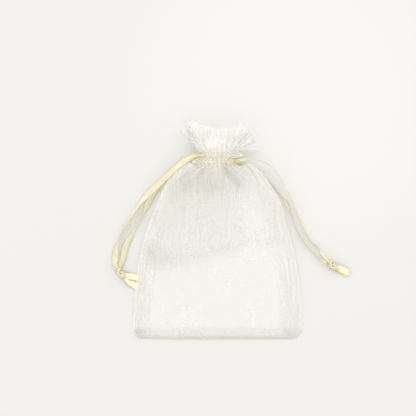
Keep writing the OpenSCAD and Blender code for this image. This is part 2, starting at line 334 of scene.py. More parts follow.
def mesh_object(name, points, faces, uvs, material, **values):
    """A smooth mesh from points in millimetres, with a UV and any further values for each point."""
    mesh = bpy.data.meshes.new(name)
    places = (np.asarray(points, float) * MM).tolist()
    mesh.from_pydata(places, [], [tuple(int(k) for k in face) for face in faces])
    layer = mesh.uv_layers.new(name="cloth")
    corners = np.empty(len(mesh.loops), dtype=np.int32)
    mesh.loops.foreach_get("vertex_index", corners)
    layer.data.foreach_set("uv", np.asarray(uvs, np.float32)[corners].ravel())
    for key, value in values.items():
        mesh.attributes.new(key, "FLOAT", "POINT").data.foreach_set("value", value.ravel())
    mesh.polygons.foreach_set("use_smooth", [True] * len(mesh.polygons))
    mesh.materials.append(material)
    mesh.update()
    obj = bpy.data.objects.new(name, mesh)
    bpy.context.collection.objects.link(obj)
    return obj


def grid_faces(rows, cols, closed=False, start=0):
    """Quads of a grid of points stored row by row. A closed grid's last column joins its first."""
    i, j = np.meshgrid(np.arange(rows - 1), np.arange(cols if closed else cols - 1), indexing="ij")
    k = (j + 1) % cols
    quads = np.stack([i * cols + j, i * cols + k, (i + 1) * cols + k, (i + 1) * cols + j], axis=-1)
    return (quads.reshape(-1, 4) + start).tolist()


def smooth(x):
    """A smooth step: 0 up to x = 0, 1 from x = 1."""
    x = np.clip(x, 0, 1)
    return x * x * (3 - 2 * x)


def unit(v):
    """The vectors, each made 1 long."""
    return v / np.maximum(np.linalg.norm(v, axis=-1, keepdims=True), 1e-9)


# ---- Ribbons --------------------------------------------------------------------

RIBBON_W = 4.0
RIBBON_T = 0.16
LANE_W = 2.8             # of a ribbon pleated lengthwise to fit its lane in the channel

# Routes: [x, y, z, roll in degrees, width]. Roll 0 lies flat, 90 stands on edge.
LEFT_FRONT_ROUTE = [
    [-9.5, 45.2, 9.2, 0, 2.8], [-10.5, 45.2, 9.2, 0, 2.8], [-13, 44.9, 9.3, 0, 3], [-18, 42.8, 9, -5, 4],
    [-26, 36.8, 7.6, -10, 4], [-34, 29.2, 5.6, -10, 4], [-41, 22.6, 4.2, -20, 4], [-47, 15.8, 3.2, -45, 4],
    [-52.3, 8.2, 2.5, -65, 4], [-57, 0.2, 2.2, -78, 4], [-59.2, -6, 2, -60, 4], [-60.4, -11.5, 1.1, -15, 4],
    [-60.8, -16, 1.2, 0, 4], [-60.4, -19.5, 2.4, 10, 3.2], [-58.6, -22.8, 3.3, 0, 2.6],
]
LEFT_BACK_ROUTE = [
    [-9.5, 45.2, 1.2, 0, 2.8], [-10.5, 45.2, 1.2, 0, 2.8], [-13, 44.8, 1.2, 0, 3], [-18, 42.8, 0.9, 0, 3.8],
    [-26, 36.9, 0.7, 0, 3.6], [-33.6, 28.8, 0.7, 0, 3.6], [-39, 21.4, 1.1, 20, 4], [-42, 15, 1.6, 40, 4],
    [-44.5, 9.5, 2.1, 75, 4], [-48, 3.5, 2.1, 70, 4], [-52, -3.5, 1.4, 35, 4], [-55, -9.5, 0.6, 5, 4],
    [-56, -14.5, 0.6, 0, 4], [-57.2, -18.5, 1, 0, 3.4], [-58.4, -22.2, 1.6, 0, 2.6],
]
RIGHT_FRONT_ROUTE = [
    [9.5, 41.8, 9.2, 0, 2.8], [10.5, 41.8, 9.2, 0, 2.8], [13, 42.3, 9.2, 30, 3], [17, 43, 8.9, 75, 4],
    [25.5, 41.9, 7.9, 85, 4], [31.5, 38.7, 6.5, 85, 4], [36, 34, 5.2, 85, 4], [40, 27, 3.8, 85, 4],
    [44, 18, 2.8, 85, 4], [48, 9, 2.2, 83, 4], [51.5, 1, 2.2, 80, 4], [55, -5, 2.2, 80, 4],
    [59.5, -9, 2.2, 85, 4], [62.5, -13.5, 2.4, 60, 3.6], [66.8, -18.6, 3.1, 20, 2.6],
]
RIGHT_BACK_ROUTE = [
    [9.5, 41.8, 1.2, 0, 2.8], [10.5, 41.8, 1.2, 0, 2.8], [13.5, 40.8, 1.4, 10, 3], [20.5, 37.8, 2.2, 75, 4],
    [27, 33.3, 2.2, 83, 4], [32.5, 28.2, 2.2, 85, 4], [38, 21.5, 2.2, 85, 4], [41.2, 16.5, 1.8, 50, 4],
    [44, 9.6, 2.2, 75, 4], [46, 3.2, 2.1, 85, 4], [50, -4.2, 2.1, 85, 4], [55.5, -11, 2.1, 85, 4],
    [60.5, -15.8, 2.1, 80, 4], [63.8, -17.9, 1.8, 50, 3.4], [66.6, -18.9, 1.5, 20, 2.6],
]
LEFT_UPPER_TAIL_ROUTE = [
    [-56.3, -25.4, 2.4, 0, 2.6], [-53.6, -26.2, 1.6, 0, 3.6], [-51.3, -26.5, 0.6, 0, 4],
    [-48.5, -27, 0.3, 0, 4], [-44.5, -28, 0.3, 0, 4],
]
LEFT_LOWER_TAIL_ROUTE = [
    [-56.4, -26, 1.2, 30, 2.6], [-54.3, -28, 1.4, 50, 3.2], [-51.7, -30.2, 1, 30, 4],
    [-49.2, -31.8, 0.3, 0, 4], [-45.8, -33.6, 0.3, 0, 4],
]
RIGHT_UPPER_TAIL_ROUTE = [
    [69.8, -20.9, 3, 0, 2.6], [72.2, -21.6, 2.4, 0, 3.4], [74.6, -22.6, 1.6, 0, 4], [78.2, -24.3, 1.2, 0, 4],
]
RIGHT_LOWER_TAIL_ROUTE = [
    [69.6, -21.1, 1.2, 0, 2.6], [72, -22.3, 0.8, 0, 3.4], [74.4, -23.6, 0.4, 0, 4], [77.8, -25.6, 0.3, 0, 4],
]
LEFT_ROUTES = LEFT_FRONT_ROUTE, LEFT_BACK_ROUTE, LEFT_UPPER_TAIL_ROUTE, LEFT_LOWER_TAIL_ROUTE
RIGHT_ROUTES = RIGHT_FRONT_ROUTE, RIGHT_BACK_ROUTE, RIGHT_UPPER_TAIL_ROUTE, RIGHT_LOWER_TAIL_ROUTE
LEFT_KNOT_TURN = -50     # of the knot's axis from X, in degrees
RIGHT_KNOT_TURN = -33


def smoothed(route, per_span):
    """The route on a smooth curve through its points (Catmull-Rom)."""
    p = np.array([route[0], *route, route[-1]], float)
    p[0] = 2 * p[1] - p[2]
    p[-1] = 2 * p[-2] - p[-3]
    t = (np.arange(per_span) / per_span)[:, None]
    spans = [
        0.5 * (2 * b + (c - a) * t + (2 * a - 5 * b + 4 * c - d) * t**2 + (3 * b - a - 3 * c + d) * t**3)
        for a, b, c, d in zip(p[:-3], p[1:-2], p[2:-1], p[3:])
    ]
    return np.vstack([*spans, p[-2:-1]])


def ribbon_section(width):
    """Points round a ribbon's section of that width, as (across, up), and their places across the flat
    ribbon. At its full width it is flat. A narrower one is pleated lengthwise and keeps its 4 mm."""
    steps = 14
    x = np.linspace(-0.5, 0.5, steps + 1)
    fold = 0.33 * np.sqrt(max(0.0, RIBBON_W / width - 1)) * width
    rise = fold * np.cos(2 * np.pi * 1.25 * x + 0.6)
    half_t = RIBBON_T / 2 * np.sqrt(np.clip(1.06 - (2 * x) ** 8, 0.05, 1))
    top = np.stack([x * width, rise + half_t], axis=1)
    low = np.stack([x * width, rise - half_t], axis=1)
    return np.vstack([top, low[::-1]]), np.hstack([x, x[::-1]]) * RIBBON_W


def headings(points):
    """Unit vectors along a line of points."""
    return unit(np.gradient(points, axis=0))


def distances(points):
    """How far along a line of points each of them is."""
    return np.hstack([0, np.cumsum(np.linalg.norm(np.diff(points, axis=0), axis=1))])


def sweep_uv(around, run):
    """UVs of a swept section: the place around it by the distance along it."""
    return np.stack(np.meshgrid(around, run), axis=-1).reshape(-1, 2)


def ribbon_object(name, route, per_span, material, cut=0.0, flutter=0.25):
    """A ribbon swept along its route. cut slants its last edge. flutter is how much it waves."""
    line = smoothed(route, per_span)
    centre, roll, width = line[:, :3], np.radians(line[:, 3]), line[:, 4]
    t = headings(centre)
    side = unit(np.cross(t, (0, 0, 1)))
    normal = np.cross(side, t)
    run = distances(centre)
    loose = smooth(run / 12) * smooth((run[-1] - run) / 10)      # 0 at both ends, which are held
    roll = roll + flutter * 0.35 * np.sin(run / 4.7 + line[0, 1]) * loose
    rings, uvs = [], []
    for k in range(len(line)):
        shape, across_uv = ribbon_section(width[k])
        across = np.cos(roll[k]) * side[k] + np.sin(roll[k]) * normal[k]
        up = np.cos(roll[k]) * normal[k] - np.sin(roll[k]) * side[k]
        cup = flutter * 0.35 * np.sin(run[k] / 6.1) * (1 - (2 * shape[:, :1] / width[k]) ** 2)
        ring = centre[k] + shape[:, :1] * across + (shape[:, 1:] + cup) * up
        if k == len(line) - 1:
            ring = ring + cut * shape[:, :1] * t[k]
        rings.append(ring)
        uvs.append(np.stack([across_uv, np.full(len(across_uv), run[k])], axis=1))
    points = np.array(rings)
    points[..., 2] = np.maximum(points[..., 2], 0.05)
    rows, cols = points.shape[:2]
    faces = grid_faces(rows, cols, closed=True)
    for first in (0, (rows - 1) * cols):       # the two cut ends, closed by quads across the section
        ring = [first + c for c in range(cols)]
        half = cols // 2
        faces += [(ring[i], ring[i + 1], ring[cols - 2 - i], ring[cols - 1 - i]) for i in range(half - 1)]
    obj = mesh_object(name, points.reshape(-1, 3), faces, np.vstack(uvs), material)
    return obj, centre


def overhand_path(at, turn, steps):
    """An overhand knot's centreline: a trefoil cut open, its ends drawn out along the knot's axis."""
    s = np.linspace(0, 1, steps)
    a = 2 * np.pi * (0.04 + 0.92 * s) + np.pi
    wide = 2 + np.cos(3 * a)
    knot = np.stack([0.95 * wide * np.cos(2 * a), 0.62 * wide * np.sin(2 * a), 0.95 * np.sin(3 * a)], axis=1)
    ends = np.stack([(2 * s - 1) * 3.6, np.zeros(steps), np.zeros(steps)], axis=1)
    pull = (np.abs(2 * s - 1) ** 5)[:, None]
    local = knot * (1 - pull) + ends * pull
    angle = np.radians(turn)
    cos, sin = np.cos(angle), np.sin(angle)
    spin = np.array([[cos, sin, 0], [-sin, cos, 0], [0, 0, 1]])
    return local @ spin + at


def knot_object(name, at, turn, material):
    """An overhand knot tied in both ends of a ribbon, which are crumpled to a thick band."""
    steps, sides = 120, 20
    wide, thick = 1.15, 0.55                     # half sizes of the crumpled band
    centre = overhand_path(np.array(at), turn, steps)
    t = headings(centre)
    out = unit(centre - np.array(at) + 1e-6)
    across = unit(np.cross(t, out))
    up = np.cross(across, t)
    ring_angle = 2 * np.pi * np.arange(sides) / sides
    run = distances(centre)
    points = []
    for k in range(steps):
        crease = 1 + 0.16 * np.cos(5 * ring_angle + run[k] * 0.5) + 0.07 * np.cos(9 * ring_angle - run[k])
        points.append(centre[k] + (wide * np.cos(ring_angle) * crease)[:, None] * across[k]
                      + (thick * np.sin(ring_angle) * crease)[:, None] * up[k])
    points = np.array(points)
    points[..., 2] = np.maximum(points[..., 2], 0.1)
    uvs = sweep_uv(2.6 * np.sin(ring_angle), run)
    faces = grid_faces(steps, sides, closed=True)
    faces += [tuple(range(sides)), tuple(range((steps - 1) * sides, steps * sides))]
    return mesh_object(name, points.reshape(-1, 3), faces, uvs, material)


def run_route(side):
    """The channel run of a ribbon: along the front, round the far side of the mouth and back."""
    lo, hi = box_mm("left_ribbon_run" if side < 0 else "right_ribbon_run")
    half_t, corner = 0.29, 1.3
    y = (lo[1] + hi[1]) / 2
    low_z, high_z = lo[2] + half_t, hi[2] - half_t
    near, far = (-lo[0], hi[0] - half_t) if side < 0 else (hi[0], -lo[0] - half_t)
    bend = far - corner
    front = [(x, high_z) for x in np.linspace(-near, bend, 16)]
    angles = np.linspace(0.3, 1.57, 5)
    upper = [(bend + corner * np.sin(a), high_z - corner * (1 - np.cos(a))) for a in angles]
    down = [(far, z) for z in np.linspace(high_z - corner, low_z + corner, 7)[1:-1]]
    lower = [(x, low_z + high_z - z) for x, z in upper[::-1]]
    back = [(x, low_z) for x, z in front[::-1]]
    return np.array([(-side * x, y, z) for x, z in front + upper + down + lower + back])


def run_object(name, side, material):
    """The run, pressed flatter than a free ribbon and slimmer round its turn."""
    centre = run_route(side)
    t = headings(centre)
    across = np.tile((0.0, 1.0, 0.0), (len(t), 1))
    up = np.cross(t, across)
    shape, across_uv = ribbon_section(LANE_W)
    shape[:, 1] *= 0.55
    slim = 1 - 0.25 * smooth((-side * centre[:, 0] - 8) / 3)
    points = (centre[:, None] + shape[None, :, :1] * (across * slim[:, None])[:, None]
              + shape[None, :, 1:] * up[:, None])
    faces = grid_faces(*points.shape[:2], closed=True)
    uvs = sweep_uv(across_uv, distances(centre))
    return mesh_object(name, points.reshape(-1, 3), faces, uvs, material)


def make_drawstring(side_name, side, routes, knot_turn, sheer_satin, satin):
    """One ribbon: its run in the channel, two strands, the knot and two cut ends."""
    body = side_name + "_drawstring"
    for which, route in (("front", routes[0]), ("back", routes[1])):
        node = f"{side_name}_ribbon_{which}_strand"
        obj, path = ribbon_object(f"{side_name}_satin_{which}_strand", route, 10, sheer_satin)
        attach(obj, body)
        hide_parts(node)
    for which, route, cut in (("upper", routes[2], 0.35), ("lower", routes[3], -0.25)):
        obj, _ = ribbon_object(f"{side_name}_satin_{which}_tail", route, 8, satin, cut)
        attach(obj, body)
        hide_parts(f"{side_name}_{which}_tail")
    lo, hi = box_mm(side_name + "_knot")
    knot = knot_object(side_name + "_satin_knot", (lo + hi) / 2, knot_turn, satin)
    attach(knot, body)
    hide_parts(side_name + "_knot")
    run = run_object(side_name + "_satin_run", side, sheer_satin)
    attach(run, body)
    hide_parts(side_name + "_ribbon_run")


# ---- Cloth ----------------------------------------------------------------------

# Cloth coordinates: c runs from -1 at the left side seam to 1 at the right one, v is the height
# above the bottom fold. 50 mm of cloth lie on each side of c = 0 at every height.
CLOTH_HALF = 50.0
CLOTH_BODY = 115.0       # length of cloth from the bottom fold to the channel
CLOTH_RUFFLE = 16.0      # and from the channel to the top edge
COLS = 280
LANE_SHIFT = 1.7         # of each ribbon's lane from the middle of the channel
UPPER_LANE = BODY_H + CHANNEL_H / 2 + LANE_SHIFT         # v of the left ribbon's lane
LOWER_LANE = BODY_H + CHANNEL_H / 2 - LANE_SHIFT         # v of the right ribbon's lane


def share(v):
    """How far up the body v is: 0 at the bottom fold, 1 from the channel on."""
    return np.clip(v / BODY_H, 0, 1)


def y_at(v):
    """Y in the frame at the height v."""
    return BOTTOM_Y + v


def half_w(v):
    """Half of the pouch's width, with the neck pinched in at the middle of the channel."""
    corner_cut, corner_h = 3.5, 3.0
    body = NECK_HALF + (HALF_W - NECK_HALF) * (1 - share(v) ** 2.4) ** 0.55
    up = np.clip((v - BODY_H) / CHANNEL_H, 0, 1)
    neck = 2.2 * smooth((v - 86) / 14) - 0.8 * up - 2.6 * np.sin(np.pi * up)
    return body + neck - corner_cut * np.clip(1 - v / corner_h, 0, None)


def seam_z(v):
    """Height of the side seams above the table."""
    return CLOTH_T + (SEAM_TOP - CLOTH_T) * share(v) ** 1.2


def shoulder_rise(c, v, inner=0.35):
    """How far the slack cloth puffs up towards the mouth beside the neck, past the lower row of
    stitches. inner is the share of the way out to the seams at which the puff starts."""
    height = np.where(c < 0, 5.0, 4.0)
    rise = smooth((v - 91) / 8) * (1 - smooth((v - 100) / 2.5))
    return height * rise * smooth(1.6 * (np.abs(c) - inner) / (1 - inner))


def side_bulge(c, v):
    """How far the slack sides reach out below the shoulders, towards either side."""
    right = 3.2 * smooth((v - 68) / 16) * (1 - smooth((v - 91) / 8)) + turn_bulge(v, UPPER_LANE)
    left = 2.2 * smooth((v - 76) / 14) * (1 - smooth((v - 94) / 7)) + turn_bulge(v, LOWER_LANE)
    return np.where(c > 0, right, -left) * smooth(np.abs(c) / 0.9)


def turn_bulge(v, lane):
    """How far the channel stands out at the side, round the turn of the ribbon in that lane."""
    return 5.0 * np.exp(-((v - lane) / 1.8) ** 2)


def loft(v):
    """How far the front's middle stands above the side seams."""
    return (SEAM_TOP - CLOTH_T) * np.sin(np.pi / 2 * share(v)) ** 0.45


def wander(c, v, seed):
    """A slow random-looking shift, for folds that don't run straight."""
    return (np.sin(4.1 * c + 0.055 * v + 1.7 * seed) + 0.6 * np.sin(9.3 * c - 0.083 * v + 2.9 * seed)
            + 0.4 * np.sin(17.7 * c + 0.031 * v + 4.3 * seed)) / 2


def waves(c, v, table, seed):
    """Gather folds. Each row of the table is (folds across the cloth, height, reach, birth, wander):
    a fold fades with its reach below the channel, and starts to show its birth distance below it."""
    d = np.maximum(BODY_H - v, 0)
    total = np.zeros_like(c)
    for k, (folds, height, reach, birth, stray) in enumerate(table):
        strength = height * np.exp(-d / reach) * (1 - np.exp(-(d + 0.01) / birth) if birth else 1)
        phase = np.pi * folds * (c + stray * wander(c, v, seed + k)) + 2.4 * (seed + k)
        total = total + strength * np.cos(phase)
    return total


FRONT_FOLDS = [
    (14, 1.0, 6, 0, 0.012), (10, 1.5, 13, 3, 0.03), (7, 1.5, 20, 7, 0.06), (4.5, 1.1, 36, 14, 0.09),
    (2.6, 0.8, 75, 28, 0.14), (27, 0.35, 16, 2, 0.01),
]
BACK_FOLDS = [
    (13, 0.9, 6, 1, 0.014), (9, 1.1, 14, 5, 0.04), (6, 0.9, 28, 10, 0.07), (3.8, 0.5, 50, 20, 0.1),
    (23, 0.35, 24, 3, 0.01),
]


def streak(x, v, start, end, width):
    """One soft crease, as 1 along the line from start to end, each (x, v) in millimetres."""
    direction = np.array(end, float) - start
    length = np.hypot(*direction)
    direction /= length
    along = (x - start[0]) * direction[0] + (v - start[1]) * direction[1]
    off = -(x - start[0]) * direction[1] + (v - start[1]) * direction[0]
    soft = min(6.0, 0.4 * length)
    ends = smooth((along + soft) / (2 * soft)) * smooth((length + soft - along) / (2 * soft))
    return ends * np.exp(-(off / width) ** 2)


def blob(x, v, at, size):
    """A soft round patch: 1 at its centre, and 0.37 where it is size away along X or V."""
    return np.exp(-((x - at[0]) / size[0]) ** 2 - ((v - at[1]) / size[1]) ** 2)


def step_line(x):
    """Height of the slanting line across the middle, above which the cloth steps up."""
    return 48.4 + 0.19 * x + np.sin(0.09 * x + 0.6)


# Creases on the front: start and end as (x, v), width and height.
CREASES = [
    ((-40, 41), (24, 54), 1.6, 0.55), ((-8, 62), (26, 70), 2.4, 0.5), ((-34, 66), (-12, 74), 2.8, 0.55),
    ((30, 34), (38, 62), 1.6, 0.5), ((14, 30), (17, 44), 1.2, 0.35), ((-30, 14), (20, 17), 3.0, -0.4),
    ((6, 58), (12, 80), 1.5, 0.4), ((-20, 80), (-36, 58), 2.2, 0.5), ((20, 84), (40, 62), 2.2, 0.5),
]


def body_relief(c, v):
    """The slack of the cloth below the neck: the step across the middle, and creases."""
    x = c * half_w(v)
    above = v - step_line(x)
    fall = np.exp(-np.clip(above, 0, None) / 32)
    relief = 1.7 * smooth(above / 6) * fall * (1 - smooth((np.abs(c) - 0.7) / 0.25))
    for start, end, width, height in CREASES:
        relief = relief + height * streak(x, v, start, end, width)
    return relief


def neck_valleys(c, v):
    """The two hollows under the neck, either side of the middle gathers."""
    d = BODY_H - v
    left = np.exp(-((c + 0.30) / 0.13) ** 2) * np.exp(-((d - 15) / 11) ** 2)
    right = np.exp(-((c - 0.33) / 0.13) ** 2) * np.exp(-((d - 12) / 11) ** 2)
    return -1.5 * left - 1.7 * right


def seam_pucker(c, v):
    """Fine vertical puckers beside the side seams."""
    edge = np.exp(-((1 - np.abs(c)) / 0.13) ** 2)
    x = c * CLOTH_HALF
    return edge * (0.16 * np.sin(2 * np.pi * x / 2.1 + 0.7 * np.sin(v / 7)) + 0.1 * np.sin(v / 2.6 + 3 * c))


def across_share(c, v):
    """Share of the half width at which the cloth coordinate c lies. Near the neck the sheet turns
    down steeply at the sides, so more of it goes there."""
    turn = smooth((v - 80) / 22)
    return (1 - turn) * c + turn * np.sin(np.pi / 2 * c), turn


def front_base(c, v):
    """X, Z of the front before its folds."""
    u, turn = across_share(c, v)
    blunt = 2.2 + 0.8 * turn
    power = (0.8 - 0.3 * share(v) ** 3) * (1 - turn) + turn / blunt
    z = seam_z(v) + loft(v) * np.clip(1 - np.abs(u) ** blunt, 0, 1) ** power
    return u * half_w(v) + side_bulge(u, v), z - 0.32 * shoulder_rise(c, v) * (1 - c**8)


def back_base(c, v):
    """X, Z of the back before its folds."""
    u, turn = across_share(c, v)
    flat_u = 0.6
    hang = 1 - (np.clip(np.abs(u) - flat_u, 0, None) / (1 - flat_u)) ** 2
    lying = seam_z(v) - (seam_z(v) - LIE) * hang
    round_z = seam_z(v) - (seam_z(v) - 0.3) * np.clip(1 - np.abs(u) ** 3, 0, 1) ** (1 / 3)
    return u * half_w(v) + side_bulge(u, v), lying * (1 - turn) + round_z * turn


def lift_along_normal(x, z, height):
    """Moves each row's points outwards from its curve, square to it."""
    dx, dz = np.gradient(x, axis=1), np.gradient(z, axis=1)
    size = np.maximum(np.hypot(dx, dz), 1e-9)
    return x - height * dz / size, z + height * dx / size


def fade_at_seams(c):
    """1 inwards of the seams and 0 at them, where the sheets meet."""
    return 1 - np.abs(c) ** 10


def neck_puff(v):
    """How far the pleats swell between the two rows of stitches in the channel."""
    return 0.72 + 0.28 * np.sin(np.pi * np.clip((v - BODY_H) / CHANNEL_H, 0, 1))


def front_sheet(c, v):
    """X, Z of the outer front cloth from the bottom fold to the top of the channel."""
    x, z = front_base(c, v)
    d = np.maximum(BODY_H - v, 0)
    room = smooth((z - seam_z(v)) / 2.2)
    folds = waves(c, v, FRONT_FOLDS, 1) * np.where(v > BODY_H, neck_puff(v), 1)
    folds = folds + 1.25 * np.exp(-d / 7)
    relief = folds + (body_relief(c, v) + neck_valleys(c, v)) * (v < BODY_H + 1) * smooth(d / 4)
    height = relief * fade_at_seams(c) * np.maximum(room, smooth((v - 80) / 20)) + seam_pucker(c, v)
    return lift_along_normal(x, z, height)


def back_sheet(c, v):
    """X, Z of the outer back cloth, which lies on the table."""
    x, z = back_base(c, v)
    d = np.maximum(BODY_H - v, 0)
    folds = waves(c, v, BACK_FOLDS, 7)
    height = (folds + 0.8 * np.exp(-d / 20)) * smooth(d / 9)
    height = np.maximum(height, 0) * fade_at_seams(c) * smooth((0.97 - np.abs(c)) / 0.3)
    pleats = 0.3 * (1 + np.cos(np.pi * 14 * c)) * (1 - smooth(d / 9))
    return x, z + height + pleats * fade_at_seams(c)


# The ruffle: cloth coordinate, angle from +Y towards +X in degrees, length and depth of its waves in
# millimetres. A lobe with two tips on the left, a wide flat middle, a rounded lobe, a gap, three spikes.
FAN = np.array([
    (-1, -46, 14.4, 0.4), (-0.88, -38, 17.6, 1.0), (-0.76, -34, 16.6, 1.0), (-0.66, -28, 19.4, 1.2),
    (-0.52, -20, 16.4, 1.2), (-0.34, -10, 14.9, 0.6), (-0.1, -1, 14.6, 0.5), (0.1, 8, 14.2, 0.5),
    (0.24, 15, 13.6, 0.6), (0.36, 21, 15.6, 1.0), (0.5, 29, 16.2, 1.0), (0.6, 35, 14.4, 0.9),
    (0.68, 41, 10.5, 0.6), (0.75, 48, 14.2, 0.8), (0.82, 57, 10.0, 0.6), (0.89, 68, 14.0, 0.8),
    (0.95, 77, 10.5, 0.5), (1, 88, 13.6, 0.4),
])
RUFFLE_ROWS = 26


def ruffle_length(c):
    """Length of the ruffle's cloth at c, from the channel to the top edge."""
    return np.interp(c, FAN[:, 0], FAN[:, 2]) + 0.25 * np.sin(19 * c)


def ruffle_points(c, s, front):
    """The outer ruffle at cloth coordinate c, share s of the way from the channel to its top edge."""
    v = np.full_like(c, RUFFLE_V)
    x, z = (front_sheet if front else back_sheet)(c, v)
    base_x, base_z = (front_base if front else back_base)(c, v)
    keep = 1 - smooth(s / 0.6)
    x = base_x + (x - base_x) * keep
    z = base_z + (z - base_z) * keep
    side = np.sin(np.pi / 2 * c)
    seed = 1 if front else 5
    phase = np.pi * (5 if front else 4.4) * (c + 0.05 * wander(c, v * 0, seed)) + 0.9 * seed
    fine = np.pi * 11 * (c + 0.03 * wander(c, v * 0, seed + 1)) + seed
    swell = smooth(s / 0.8) ** 0.8 * np.interp(c, FAN[:, 0], FAN[:, 3])
    plan = np.radians(np.interp(c, FAN[:, 0], FAN[:, 1]))
    plan = plan + swell * (0.15 * np.sin(2 * phase) + 0.07 * np.sin(fine)) * (1 - 0.5 * np.abs(side) ** 6)
    if front:
        tilt = 0.10 + 0.30 * (1 - side**2) + swell * (0.24 * np.cos(phase) + 0.15 * np.cos(fine))
    else:
        tilt = 0.02 + 0.10 * np.abs(side) + swell * (0.14 * (1 + np.cos(phase)) + 0.08 * (1 + np.cos(fine)))
    reach = ruffle_length(c) * s
    px = x + reach * np.sin(plan) * np.cos(tilt)
    py = y_at(v) + reach * np.cos(plan) * np.cos(tilt)
    pz = z + reach * np.sin(tilt)
    return np.stack([px, py, np.maximum(pz, LIE)], axis=-1)


def sheet_plies(points, cloth_step):
    """How many thicknesses a line straight through the cloth crosses: from its slope, and from the
    fine gathers between columns that lie cloth_step apart in the flat cloth."""
    across, along = np.gradient(points, axis=1), np.gradient(points, axis=0)
    normal = unit(np.cross(across, along))
    steep = 1 / np.maximum(np.abs(normal[..., 2]), 0.22)
    gathers = cloth_step / np.maximum(np.linalg.norm(across, axis=-1), 1e-3)
    return np.clip(steep * np.clip(gathers, 1, 1.9), 1, 5)


def body_rows():
    """Heights of the rows: closer together at the fold, at the neck and along the channel."""
    low = 0.45 + 12 * np.linspace(0, 1, 16)[:-1] ** 1.3
    middle = np.linspace(12.45, 78, 48)[:-1]
    high = np.linspace(78, BODY_H, 34)[:-1]
    return np.hstack([low, middle, high, np.linspace(BODY_H, RUFFLE_V, 16)])


def sheet_grid(front):
    """An outer sheet's points, rows by columns, c of each column and the cloth length up to each row."""
    c_line = np.linspace(-1, 1, COLS + 1)
    v_line = body_rows()
    c, v = np.meshgrid(c_line, v_line)
    x, z = (front_sheet if front else back_sheet)(c, v)
    body = np.stack([x, y_at(v) + shoulder_rise(c, v, 0.35 if front else 0.85), z], axis=-1)
    lengths = np.where(v_line < BODY_H, v_line * CLOTH_BODY / BODY_H, v_line + CLOTH_BODY - BODY_H)
    s_line = np.linspace(0, 1, RUFFLE_ROWS + 1)[1:]
    c, s = np.meshgrid(c_line, s_line)
    ruffle = ruffle_points(c, s, front)
    lengths = np.hstack([lengths, CLOTH_BODY + CHANNEL_H + CLOTH_RUFFLE * s_line])
    parts = [body, ruffle]
    if front:                                   # the bottom fold rolls round to the back sheet
        nose = fold_nose(body[0])
        parts = [nose, *parts]
        lengths = np.hstack([np.linspace(-1.2, 0, len(nose)), lengths])
    return np.concatenate(parts), c_line, lengths


def fold_nose(first_row):
    """Rows that roll the front's lowest edge round and under, to meet the back."""
    depth = 0.45
    centre_z = (first_row[:, 2] + LIE) / 2
    radius = (first_row[:, 2] - LIE) / 2
    rows = []
    for a in np.linspace(-np.pi / 2, np.pi / 2, 9)[:-1]:
        row = first_row.copy()
        row[:, 1] = first_row[:, 1] - depth * np.cos(a)
        row[:, 2] = centre_z + radius * np.sin(a)
        rows.append(row)
    return np.array(rows)


def outside_openings(faces, points, c_line):
    """The faces left once the channel is open at both seams, where the ribbons come out."""
    cols = points.shape[1]
    flat = points.reshape(-1, 3)
    kept = []
    for face in faces:
        y = np.mean([flat[k][1] for k in face])
        c = c_line[face[0] % cols]
        exit_y = y_at(LOWER_LANE if c > 0 else UPPER_LANE)
        if ((y - exit_y) / 1.9) ** 2 + ((1 - abs(c)) / 0.36) ** 2 > 1:
            kept.append(face)
    return kept


def cloth_object(name, points, c_line, lengths, material, shaded=False):
    """A sheet's mesh, with the thicknesses and the shade at each of its points."""
    rows, cols = points.shape[:2]
    faces = outside_openings(grid_faces(rows, cols), points, c_line)
    uv = np.stack(np.meshgrid(c_line * CLOTH_HALF, lengths), axis=-1)
    shade = front_shade(points, c_line[None, :]) if shaded else np.zeros((rows, cols))
    above_channel = np.clip(lengths - CLOTH_BODY - CHANNEL_H, 0, None) / CLOTH_RUFFLE
    x, v = points[..., 0], points[..., 1] - BOTTOM_Y
    # Painted shade also raises the thicknesses, so the cloth stops more light there.
    plies = sheet_plies(points, CLOTH_HALF * (c_line[1] - c_line[0])) * (1 + 0.6 * shade)
    plies = plies * (1 - 0.45 * smooth(above_channel)[:, None] * (1 - shade))
    # Painted light: paler places beside the neck, where fewer thicknesses are counted.
    plies = plies * (1 - marks(x, v, *PAINTED_LIGHT_PLACES))
    return mesh_object(name, points.reshape(-1, 3), faces, uv.reshape(-1, 2), material,
                       plies=plies, shade=shade)


def marks(x, v, patches, lines):
    """The sum of soft patches, each (centre, size, depth), and soft lines, each (start, end, width,
    depth)."""
    total = sum(depth * blob(x, v, at, size) for at, size, depth in patches)
    return total + sum(depth * streak(x, v, start, end, width) for start, end, width, depth in lines)


# Painted light beside the neck: patches and a streak where the cloth counts as fewer thicknesses, so it
# shows paler.
PAINTED_LIGHT_PLACES = (
    [((-17, 98), (7, 6), 0.3), ((21, 97), (7, 6), 0.25), ((0, 107), (14, 5), 0.3)],
    [((-12, 103), (-31, 87), 2.2, 0.3)],
)

# Painted shade in the hollows under the neck, the dents at the left edge and the corner tucks, and along
# dark creases.
PAINTED_SHADE_PLACES = (
    [((-5, 90), (7, 5.5), 0.38), ((-32, 50), (9, 4), 0.3), ((-40, 52), (3, 4), 0.6),
     ((-37.5, 73), (2.5, 5), 0.45), ((-47, 3), (2.5, 3), 0.5)],
    [((-7, 100), (-23, 86), 2.8, 0.5), ((3.5, 103), (14, 90), 2.6, 0.85), ((-2, 103), (-6, 88), 1.4, 0.3),
     ((39, 6), (46, 0), 1.2, 0.5)],
)

# Folded edges of the ruffle's pleats, with painted shade along them: cloth coordinate, and how far they
# darken.
PLEAT_EDGE_SHADE = [(-0.95, 0.9), (-0.8, 0.8), (-0.66, 0.6), (-0.45, 0.4), (0.27, 1.0), (0.4, 0.4), (0.62, 0.9),
               (0.75, 0.8), (0.87, 1.0), (0.98, 0.9)]


